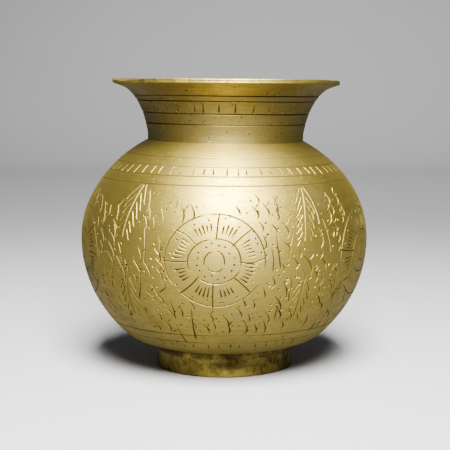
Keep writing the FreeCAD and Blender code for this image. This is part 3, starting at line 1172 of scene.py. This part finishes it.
def film_group():
    """Film: how browned the metal is. Slow clouds, finer mottling, dark specks and stains, patches,
    and the engraved cuts, where rubbing doesn't reach. Puts out the brown film, the black tarnish
    and the grey film."""
    tree, given, result = new_group(
        "film",
        {"Cut": 0.0, "Brown": 0.5, "Specks": 0.5, "Cloud scale": 30.0, "Patches": 0.0},
        ("Film", "Tarnish", "Grey"),
    )
    place = given["Place"]
    clouds = noise(tree, place, given["Cloud scale"], 4, 0.6, 0.6)
    mottle = noise(tree, stretched(tree, place, (1, 1, 1.6)), 420, 4, 0.65)
    smear = noise(tree, stretched(tree, place, (1, 1, 7)), 110, 4, 0.65, 0.4)
    browned = weighted(tree, (clouds, 0.6), (mottle, 0.35), (smear, 0.5), (given["Brown"], 0.4))
    specks = ramp(tree, noise(tree, place, 900, 2, 0.5), 0.65, 0.73)
    stains = ramp(tree, noise(tree, place, 75, 3, 0.7, 0.5), 0.63, 0.77)
    spots = product(tree, greatest(tree, specks, stains), given["Specks"])
    grooves = product(tree, ramp(tree, given["Cut"], 0.03, 0.5), CUT_DARK)
    patch_noise = noise(tree, stretched(tree, place, (1, 1, 0.8)), 105, 7, 0.72, 0.3)
    patches = product(tree, ramp(tree, patch_noise, 0.4, 0.66), given["Patches"])
    socket(tree, result, "Film", ramp(tree, browned, 0.7, 1.12))
    socket(tree, result, "Tarnish", greatest(tree, greatest(tree, spots, grooves), patches))
    socket(tree, result, "Grey", ramp(tree, noise(tree, place, 55, 4, 0.6, 0.3), 0.5, 0.72))
    return tree


def edge_and_shade_group():
    """A mask that rises with height between two levels, broken up by a noise: wear on the lip's rubbed
    edge, and gaps in the painted shade in the foot's cove under the bowl.
    """
    tree, given, result = new_group("rubbed_edge_and_painted_shade", {"From": 0.0, "To": 1.0}, ("Mask",))
    place = given["Place"]
    height = node(tree, "ShaderNodeSeparateXYZ", {0: place}).outputs["Z"]
    level = ramp(tree, height, given["From"], given["To"])
    # A noise that breaks the band up: wear on the lip, gaps in the painted shade of the foot's cove.
    worn = ramp(tree, noise(tree, place, 160, 3, 0.6), 0.34, 0.56)
    socket(tree, result, "Mask", product(tree, level, worn))
    return tree


def lathe_group():
    """Lathe: the height of fine rings left by turning, crossed by random scratches and pits."""
    tree, given, result = new_group("lathe", {"Rings": 1.0, "Wear": 1.0}, ("Height",))
    place = given["Place"]
    rings = noise(tree, stretched(tree, place, (12, 12, 1800)), 1.0, 4, 0.7)
    broad = noise(tree, stretched(tree, place, (8, 8, 420)), 1.0, 2, 0.5)
    scratch = noise(tree, stretched(tree, place, (260, 260, 2600)), 1.0, 2, 0.6, 1.2)
    pits = ramp(tree, noise(tree, place, 1400, 2, 0.6), 0.7, 0.62)
    dents = noise(tree, place, 90, 2, 0.5)
    turned = product(tree, weighted(tree, (rings, 0.5), (broad, 0.5)), given["Rings"])
    worn = product(tree, weighted(tree, (scratch, 0.35), (dents, 0.9), (pits, 0.4)), given["Wear"])
    socket(tree, result, "Height", math_node(tree, "ADD", turned, worn))
    return tree


def place_group(tree, group, inputs):
    made = tree.nodes.new("ShaderNodeGroup")
    made.node_tree = group
    for name, value in inputs.items():
        socket(tree, made, name, value)
    return made


CUT_DARK = 1.0
COVE_SHADE = 0.75  # how dark the painted shade makes the cove under the bowl
TARNISH_ROUGH = 0.25  # how much rougher tarnish is
TURNED_STREAK = 0.4  # lathe rings spread a reflection up and down
RELIEF = 0.13 * MM
RELIEF_STRENGTH = 0.6


def surface(tree, shader):
    """Sends a shader to the material's output."""
    output = node(tree, "ShaderNodeOutputMaterial")
    tree.links.new(shader.outputs["BSDF"], output.inputs["Surface"])


def new_material(name):
    """An empty material. Returns it, its tree and the place on the surface."""
    material = bpy.data.materials.new(name)
    material.use_nodes = True
    tree = material.node_tree
    tree.nodes.clear()
    return material, tree, node(tree, "ShaderNodeTexCoord").outputs["Object"]


def brass(
    name, finish, groups, brown, specks, grey, rings=1.0, wear=1.0, clouds=30.0, bright=None, shade=1.0,
    polish=0.0, edge=None, patches=0.0, painted_shade_band=None,
):
    """Aged brass: rubbed metal under a brown film, grey in patches, nearly black in cuts and stains,
    darkened towards tarnish by painted shade in a band under an overhang, bright again on a rubbed
    edge, duller where it is filmed, with lathe rings and scratches in relief. Shade scales all its
    colours: painted shade on a piece where it is below 1, painted light where it is above."""
    material, tree, place = new_material(name)
    film = place_group(tree, groups["film"], {
        "Place": place,
        "Cut": node(tree, "ShaderNodeAttribute", attribute_name="cut").outputs["Fac"],
        "Brown": brown,
        "Specks": specks,
        "Cloud scale": clouds,
        "Patches": patches,
    }).outputs
    lathe = place_group(tree, groups["lathe"], {"Place": place, "Rings": rings, "Wear": wear}).outputs

    def band(levels):
        given = {"Place": place, "From": levels[0], "To": levels[1]}
        return place_group(tree, groups["edge"], given).outputs["Mask"]

    # Painted light and shade: one factor scales all of a piece's colours, for how the light falls on it.
    rubbed, aged, dull = (
        (*(c * shade for c in tint), 1) for tint in (bright or finish.brass, finish.aged, finish.verdigris)
    )
    tarnish = (*finish.tarnish, 1)
    tint = mixed(tree, film["Film"], rubbed, aged)
    tint = mixed(tree, product(tree, film["Grey"], grey), tint, dull)
    if edge:
        tint = mixed(tree, band(edge), tint, (*finish.brass, 1))
    tint = mixed(tree, film["Tarnish"], tint, tarnish)
    # Painted shade: the band under the bowl's overhang is mixed towards tarnish.
    if painted_shade_band:
        tint = mixed(tree, product(tree, band(painted_shade_band), COVE_SHADE), tint, tarnish)
    span = finish.dull - finish.gloss
    rough = math_node(tree, "ADD", product(tree, film["Film"], span), finish.gloss - polish)
    rough = math_node(tree, "ADD", rough, product(tree, film["Tarnish"], TARNISH_ROUGH), clamp=True)
    relief = {"Height": lathe["Height"], "Strength": RELIEF_STRENGTH, "Distance": RELIEF}
    round_z = node(tree, "ShaderNodeTangent", direction_type="RADIAL", axis="Z")
    surface(tree, node(tree, "ShaderNodeBsdfPrincipled", {
        "Base Color": tint,
        "Metallic": 1.0,
        "Roughness": rough,
        "Normal": node(tree, "ShaderNodeBump", relief).outputs["Normal"],
        "Anisotropic": TURNED_STREAK,
        "Anisotropic Rotation": 0.25,
        "Tangent": round_z.outputs["Tangent"],
    }))
    return material


def backdrop_material(stage):
    """Matt paper: the floor's colour with a very faint mottle, darker in reflections."""
    material, tree, place = new_material("backdrop_paper")
    parts = (1, PAPER_MOTTLE, stage.mirrored)
    plain, faint, mirrored = ((*(c * part for c in stage.floor), 1) for part in parts)
    tint = mixed(tree, noise(tree, place, 14, 3, 0.6), plain, faint)
    tint = mixed(tree, node(tree, "ShaderNodeLightPath").outputs["Is Glossy Ray"], tint, mirrored)
    surface(tree, node(tree, "ShaderNodeBsdfPrincipled", {"Base Color": tint, "Roughness": PAPER_ROUGH}))
    return material


PAPER_MOTTLE = 0.96
PAPER_ROUGH = 0.85
LIP_BAND = (2.4, 1.4)  # where rubbing starts and is whole, in millimetres under the lip's top
COVE_SHADE_BAND = (3.4, 2.4)  # where the painted shade under the bowl starts and is whole, in millimetres under the foot's top
MATERIALS = {}


def make_materials(finish):
    """Builds the shared groups once, then one material for each finish of the pot."""
    groups = {"film": film_group(), "lathe": lathe_group(), "edge": edge_and_shade_group()}
    lip = [NECK_BOX[1][2] - below * MM for below in LIP_BAND]
    cove = [FOOT_BOX[1][2] - below * MM for below in COVE_SHADE_BAND]
    MATERIALS["engraved"] = brass("engraved_brass", finish, groups, 0.45, 0.8, 0.4, rings=1.5)
    # The neck's colours are darkened by painted shade.
    MATERIALS["turned"] = brass(
        "turned_brass", finish, groups, 0.6, 1.0, 0.75, rings=1.8, wear=1.3, shade=0.74,
        bright=finish.neck, edge=lip,
    )
    # The foot's colours are lightened by painted light, and its cove under the bowl gets painted shade.
    MATERIALS["foot"] = brass(
        "foot_brass", finish, groups, 0.45, 1.0, 0.3, rings=0.6, wear=1.6, clouds=90.0, shade=1.15,
        polish=0.06, patches=0.9, painted_shade_band=cove,
    )
    MATERIALS["spelter"] = brass(
        "spelter", finish, groups, 0.3, 0.5, 0.3, rings=0.0, wear=3.0, bright=finish.spelter
    )


# ------------------------------------------------------------------ stage

BACKDROP_HALF_WIDTH = 0.62
BACKDROP_FRONT = -0.75
BACKDROP_BACK = 1.2
BACKDROP_BEND = 0.30
BACKDROP_TOP = 1.0

# Each light: where it stands, where it points, and its width and length
KEY_LIGHT = ((0.03, -0.40, 0.575), (0, -0.02, 0.05), (0.26, 0.48))
WALL_LIGHT = ((0.2, 0.55, 1.0), (0.1, 1.5, 0.25), (0.9, 0.3))
ROOM_COLOUR = (1.0, 0.98, 0.95, 1)


def backdrop(stage):
    """A sheet of paper: a flat run, a quarter circle and an upright run, carried along X."""
    flat = np.column_stack([np.linspace(BACKDROP_FRONT, BACKDROP_BACK, 12), np.zeros(12)])
    angle = np.linspace(-math.pi / 2, 0, 17)[1:]
    bend = np.column_stack([
        BACKDROP_BACK + BACKDROP_BEND * np.cos(angle), BACKDROP_BEND + BACKDROP_BEND * np.sin(angle)
    ])
    rise = np.linspace(BACKDROP_BEND, BACKDROP_TOP, 7)[1:]
    up = np.column_stack([np.full(6, BACKDROP_BACK + BACKDROP_BEND), rise])
    profile = np.vstack([flat, bend, up])
    across = np.linspace(-BACKDROP_HALF_WIDTH, BACKDROP_HALF_WIDTH, 9)
    rows, columns = len(profile), len(across)
    points = np.zeros((rows, columns, 3))
    points[..., 0] = across
    points[..., 1:] = profile[:, None, :]
    corner = (np.arange(rows - 1)[:, None] * columns + np.arange(columns - 1)).ravel()
    quads = np.column_stack([corner, corner + 1, corner + columns + 1, corner + columns])
    mesh = bpy.data.meshes.new("backdrop")
    mesh.from_pydata(points.reshape(-1, 3).tolist(), [], quads.tolist())
    mesh.polygons.foreach_set("use_smooth", np.ones(len(quads), bool))
    mesh.materials.append(backdrop_material(stage))
    sheet = bpy.data.objects.new("backdrop", mesh)
    bpy.context.scene.collection.objects.link(sheet)


def soft_light(name, place, aim, size, power, stage):
    """A rectangular light that points at a place."""
    data = bpy.data.lights.new(name, "AREA")
    data.shape = "RECTANGLE"
    data.size, data.size_y = size
    data.energy = power
    data.spread = stage.spread
    data.color = stage.lamp
    light = bpy.data.objects.new(name, data)
    light.location = place
    light.rotation_euler = (Vector(aim) - Vector(place)).to_track_quat("-Z", "Y").to_euler()
    bpy.context.scene.collection.objects.link(light)


def room_light(strength):
    world = bpy.data.worlds.new("room")
    world.use_nodes = True
    back = world.node_tree.nodes["Background"]
    back.inputs["Color"].default_value = ROOM_COLOUR
    back.inputs["Strength"].default_value = strength
    bpy.context.scene.world = world


def camera(stage):
    data = bpy.data.cameras.new("camera")
    data.lens = stage.lens
    data.sensor_width = 36
    eye = bpy.data.objects.new("camera", data)
    eye.location = (stage.shift, -stage.distance, stage.height)
    eye.rotation_euler = (math.pi / 2 - stage.tilt, 0, 0)
    bpy.context.scene.collection.objects.link(eye)
    bpy.context.scene.camera = eye


# ------------------------------------------------------------------ operators


class LOTA_OT_metals(bpy.types.Operator):
    """Build the pot's metal finishes"""

    bl_idname = "lota.metals"
    bl_label = "Metals"

    def execute(self, context):
        make_materials(context.scene.lota_finish)
        return {"FINISHED"}


class LOTA_OT_body(bpy.types.Operator):
    """Build the engraved shoulder and bowl"""

    bl_idname = "lota.body"
    bl_label = "Shoulder and bowl"

    def execute(self, context):
        sizes = context.scene.lota_sizes
        body = EngravedBody(sizes, context.scene.lota_engraving)
        metal = MATERIALS["engraved"]
        place("engraved_shoulder", shoulder_shell(sizes, body), metal, "shoulder_shell", "engraved_brass")
        place("engraved_bowl", bowl_shell(sizes, body), metal, "bowl_shell", "engraved_brass")
        return {"FINISHED"}


class LOTA_OT_neck(bpy.types.Operator):
    """Build the flared neck and its lip"""

    bl_idname = "lota.neck"
    bl_label = "Neck"

    def execute(self, context):
        mesh = neck_piece(context.scene.lota_sizes, context.scene.lota_engraving)
        place("flared_neck", mesh, MATERIALS["turned"], "neck", "turned_brass")
        return {"FINISHED"}


class LOTA_OT_foot(bpy.types.Operator):
    """Build the foot ring"""

    bl_idname = "lota.foot"
    bl_label = "Foot ring"

    def execute(self, context):
        mesh = foot_piece(context.scene.lota_sizes)
        place("turned_foot", mesh, MATERIALS["foot"], "foot_ring", "foot_brass")
        return {"FINISHED"}


class LOTA_OT_spelter(bpy.types.Operator):
    """Give the three rings of brazing spelter their finish"""

    bl_idname = "lota.spelter"
    bl_label = "Spelter"

    def execute(self, context):
        for name in ("belly_spelter", "neck_spelter", "foot_spelter"):
            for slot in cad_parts[name].material_slots:
                slot.material = MATERIALS["spelter"]
        return {"FINISHED"}


class LOTA_OT_stage(bpy.types.Operator):
    """Set the floor, the lights and the camera"""

    bl_idname = "lota.stage"
    bl_label = "Stage"

    def execute(self, context):
        stage = context.scene.lota_stage
        backdrop(stage)
        room_light(stage.sky)
        soft_light("key", *KEY_LIGHT, stage.key, stage)
        soft_light("wall", *WALL_LIGHT, stage.wall, stage)
        camera(stage)
        return {"FINISHED"}


class LOTA_PT_panel(bpy.types.Panel):
    """The pot's pieces, sizes and colours"""

    bl_idname = "LOTA_PT_panel"
    bl_label = "Engraved lota"
    bl_space_type = "VIEW_3D"
    bl_region_type = "UI"
    bl_category = "Lota"

    def draw(self, context):
        for step in STEPS:
            self.layout.operator(step.bl_idname)
        for name, group in GROUPS.items():
            box = self.layout.box()
            box.label(text=group.__doc__)
            for key in group.__annotations__:
                box.prop(getattr(context.scene, name), key)


STEPS = (LOTA_OT_metals, LOTA_OT_body, LOTA_OT_neck, LOTA_OT_foot, LOTA_OT_spelter, LOTA_OT_stage)
GROUPS = {
    "lota_sizes": LotaSizes,
    "lota_engraving": LotaEngraving,
    "lota_finish": LotaFinish,
    "lota_stage": LotaStage,
}


def register():
    for kind in (*GROUPS.values(), *STEPS, LOTA_PT_panel):
        bpy.utils.register_class(kind)
    for name, group in GROUPS.items():
        setattr(bpy.types.Scene, name, PointerProperty(type=group))


def unregister():
    for name in GROUPS:
        delattr(bpy.types.Scene, name)
    for kind in (LOTA_PT_panel, *reversed(STEPS), *GROUPS.values()):
        bpy.utils.unregister_class(kind)


def main():
    register()
    for step in STEPS:
        group, action = step.bl_idname.split(".")
        getattr(getattr(bpy.ops, group), action)()


if __name__ == "__main__":
    main()
